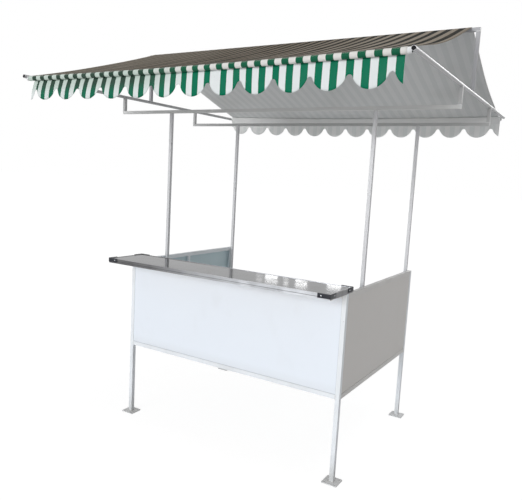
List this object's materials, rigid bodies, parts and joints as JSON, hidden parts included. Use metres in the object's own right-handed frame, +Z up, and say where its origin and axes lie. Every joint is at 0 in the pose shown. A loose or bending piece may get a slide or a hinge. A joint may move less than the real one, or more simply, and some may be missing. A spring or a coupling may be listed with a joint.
{
  "type": "market stall",
  "caption": "Steel tube market stall: framed skirt sheets on three sides, a narrow metal-topped counter in front and a striped gable canopy with scalloped valances.",
  "frame": {"origin": "on the floor, at the middle of the booth and of the canopy", "axes": "+Z up, +X to the right along the counter as a customer sees it, -Y towards the customer"},
  "size_m": [2.3664, 2.1954, 2.5018],
  "materials": {
    "white_tube": "white gloss paint",
    "panel_sheet": "pale blue-white gloss paint",
    "counter_board": "bare board, hidden",
    "counter_metal": "polished sheet",
    "counter_trim": "mill finish",
    "black_plastic": "satin black",
    "striped_fabric": "green and white striped coated fabric"
  },
  "bodies": {
    "root": {"front_left_leg": "white_tube", "front_right_leg": "white_tube", "back_left_leg": "white_tube", "back_right_leg": "white_tube", "foot_plates": "white_tube", "front_top_rail": "white_tube", "front_bottom_rail": "white_tube", "front_stile": "white_tube", "left_top_rail": "white_tube", "left_bottom_rail": "white_tube", "left_stile": "white_tube", "right_top_rail": "white_tube", "right_bottom_rail": "white_tube", "right_stile": "white_tube", "front_panel": "panel_sheet", "left_panel": "panel_sheet", "right_panel": "panel_sheet", "counter_board": "counter_board", "counter_sheet": "counter_metal", "counter_front_trim": "counter_trim", "counter_back_trim": "counter_trim", "counter_left_trim": "counter_trim", "counter_right_trim": "counter_trim", "counter_corner_guards": "black_plastic", "end_plugs": "black_plastic", "counter_arms": "white_tube", "front_left_post": "white_tube", "front_right_post": "white_tube", "back_left_post": "white_tube", "back_right_post": "white_tube", "front_beam": "white_tube", "back_beam": "white_tube", "front_risers": "white_tube", "back_risers": "white_tube", "left_end_rail": "white_tube", "right_end_rail": "white_tube", "left_king_post": "white_tube", "right_king_post": "white_tube", "ridge_bar": "white_tube", "front_bar": "white_tube", "back_bar": "white_tube", "front_cover": "striped_fabric", "back_cover": "striped_fabric", "front_valance": "striped_fabric", "back_valance": "striped_fabric"}
  },
  "joints": []
}
